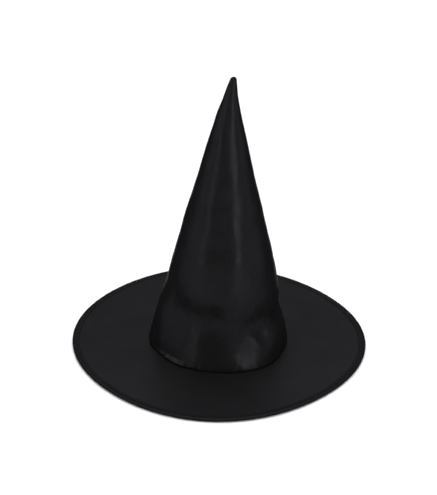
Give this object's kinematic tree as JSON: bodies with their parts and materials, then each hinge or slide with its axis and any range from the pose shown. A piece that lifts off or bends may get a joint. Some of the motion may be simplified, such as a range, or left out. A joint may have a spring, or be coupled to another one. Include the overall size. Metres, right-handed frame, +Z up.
{
  "type": "witch hat",
  "caption": "Tall soft conical crown with a rounded tip, sewn to a wide flat wired brim with a bound edge; the crown bends over in its middle.",
  "frame": {"origin": "middle of the brim on the plane that the hat stands on", "axes": "+Z up along the crown, front of the hat towards -Y, back seam of the crown on the +Y side, the crown's tip and the bend's positive way towards +X"},
  "size_m": [0.38, 0.38, 0.37],
  "materials": {
    "satin": "black woven polyester satin, soft low sheen",
    "binding": "black bias-cut satin strip, folded and stitched",
    "interlining": "black stiff non-woven, matt",
    "grosgrain": "black ribbed ribbon",
    "spring_steel": "drawn spring-steel wire",
    "crimp_metal": "crimped soft aluminium tube",
    "label": "blank white woven tape"
  },
  "bodies": {
    "hat_base": {"brim_underside_cloth": "satin", "brim_interlining": "interlining", "brim_top_cloth": "satin", "brim_edge_binding": "binding", "brim_hoop_wire": "spring_steel", "hoop_ferrule": "crimp_metal", "brim_turned_edge": "satin", "crown_cloth_lower": "satin", "crown_cloth_bend": "satin", "crown_interlining_lower": "interlining", "crown_interlining_bend": "interlining", "back_seam_lower": "satin", "back_seam_bend": "satin", "sweatband": "grosgrain", "care_label": "label"},
    "crown_top": {"crown_cloth_upper": "satin", "crown_interlining_upper": "interlining", "back_seam_upper": "satin"}
  },
  "joints": [
    {"name": "crown_bend", "type": "hinge", "parent": "hat_base", "child": "crown_top", "pos_m": [0.005, 0, 0.205], "axis": [0, 1, 0], "range_deg": [-60, 60], "stiffness_Nm_per_rad": 0.05, "deforming": ["crown_cloth_bend", "crown_interlining_bend", "back_seam_bend"]}
  ]
}
